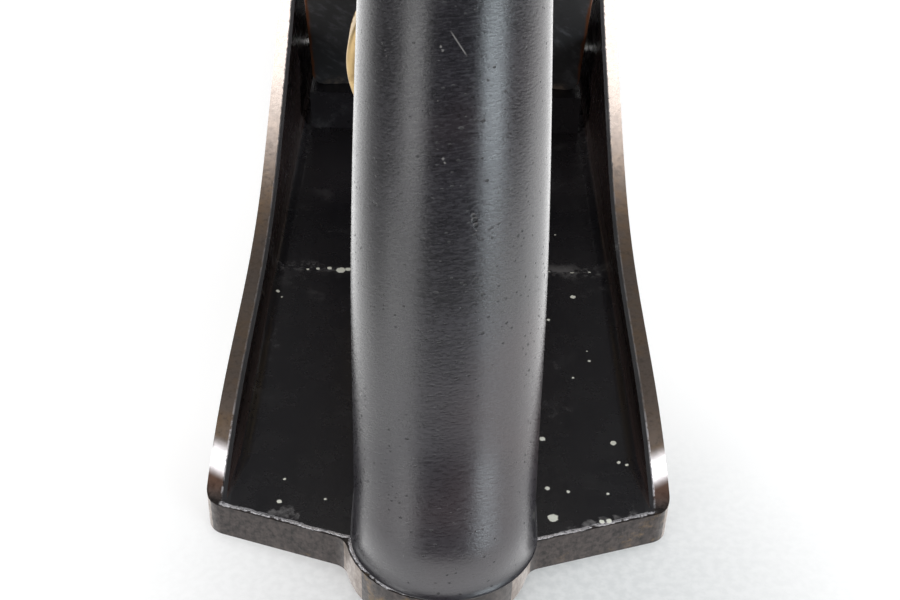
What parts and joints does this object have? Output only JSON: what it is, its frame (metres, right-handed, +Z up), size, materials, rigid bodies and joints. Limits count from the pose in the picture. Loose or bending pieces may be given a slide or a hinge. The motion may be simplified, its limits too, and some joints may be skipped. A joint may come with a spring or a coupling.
{
  "type": "hand plane",
  "caption": "Iron bench plane with a wooden tote and knob, a sliding frog, adjustable irons and a clamping lever cap.",
  "frame": {"origin": "middle of the sole, on the surface that the plane stands on", "axes": "+Z up from the sole, +Y towards the toe, +X to the user's right"},
  "size_m": [0.062, 0.246, 0.1174],
  "materials": {
    "japanned_iron": "black japan over cast iron, bare brown edges",
    "tool_steel": "worn steel with brown patina",
    "cap_steel": "blued and worn steel",
    "nickel_iron": "old nickel plate, dulled",
    "screw_steel": "turned steel, slightly rusted",
    "brass": "aged brass",
    "dark_wood": "near black polished hardwood",
    "spring_steel": "blue tempered spring"
  },
  "bodies": {
    "body": {"plane_body": "japanned_iron", "frog_screws": "screw_steel", "frog_washers": "screw_steel", "tote": "dark_wood", "tote_nut": "brass", "tote_bolt": "screw_steel", "knob": "dark_wood", "knob_nut": "brass", "knob_bolt": "screw_steel"},
    "frog": {"frog": "japanned_iron", "frog_adjusting_plate": "screw_steel", "plate_screw": "screw_steel", "depth_stud": "screw_steel", "y_lever_pin": "screw_steel", "lateral_lever_rivet": "screw_steel", "lever_cap_screw": "screw_steel"},
    "frog_adjusting_screw": {"frog_adjusting_screw": "screw_steel"},
    "depth_wheel": {"depth_wheel": "brass"},
    "y_lever": {"y_lever": "japanned_iron"},
    "lateral_lever": {"lateral_lever": "screw_steel"},
    "lateral_roller": {"lateral_roller": "screw_steel"},
    "irons": {"plane_iron": "tool_steel", "cap_iron": "cap_steel", "cap_iron_screw": "screw_steel"},
    "lever_cap": {"lever_cap": "nickel_iron", "cam_pin": "screw_steel", "lever_cap_spring": "spring_steel", "spring_rivet": "screw_steel"},
    "lever_cap_cam": {"lever_cap_cam": "nickel_iron"}
  },
  "joints": [
    {"name": "frog_slide", "type": "slide", "parent": "body", "child": "frog", "axis": [0, 1, 0], "range_m": [-0.0015, 0.0015]},
    {"name": "frog_screw_turn", "type": "hinge", "parent": "frog", "child": "frog_adjusting_screw", "pos_m": [0, 0, 0.0092], "axis": [0, 1, 0], "range_deg": [-520, 520]},
    {"name": "depth_wheel_turn", "type": "hinge", "parent": "frog", "child": "depth_wheel", "pos_m": [0, -0.039, 0.038], "axis": [0, 1, 0], "range_deg": [-360, 360]},
    {"name": "y_lever_rock", "type": "hinge", "parent": "frog", "child": "y_lever", "pos_m": [0, -0.01807, 0.05148], "axis": [1, 0, 0], "range_deg": [-4.6, 4.6]},
    {"name": "lateral_lever_swing", "type": "hinge", "parent": "frog", "child": "lateral_lever", "pos_m": [0, -0.0354, 0.07729], "axis": [0, 0.7071, 0.7071], "range_deg": [-8, 8]},
    {"name": "roller_shift", "type": "hinge", "parent": "frog", "child": "lateral_roller", "pos_m": [0, 0.03637, 0.00551], "axis": [0, 0.7071, 0.7071], "range_deg": [-1.1, 1.1]},
    {"name": "irons_slide", "type": "slide", "parent": "lateral_roller", "child": "irons", "axis": [0, -0.7071, 0.7071], "range_m": [-0.00072, 0.00072]},
    {"name": "lever_cap_slide", "type": "slide", "parent": "frog", "child": "lever_cap", "axis": [0, -0.7071, 0.7071], "range_m": [0, 0.011]},
    {"name": "cam_lift", "type": "hinge", "parent": "lever_cap", "child": "lever_cap_cam", "pos_m": [0, -0.0325, 0.08796], "axis": [-1, 0, 0], "range_deg": [0, 100]}
  ],
  "couplings": [
    {"joint": "frog_screw_turn", "follows": "frog_slide", "rad_per_m": 5937.1},
    {"joint": "depth_wheel_turn", "follows": "irons_slide", "rad_per_m": -8712},
    {"joint": "y_lever_rock", "follows": "irons_slide", "rad_per_m": 108.7},
    {"joint": "roller_shift", "follows": "lateral_lever_swing", "ratio": -0.12155}
  ]
}
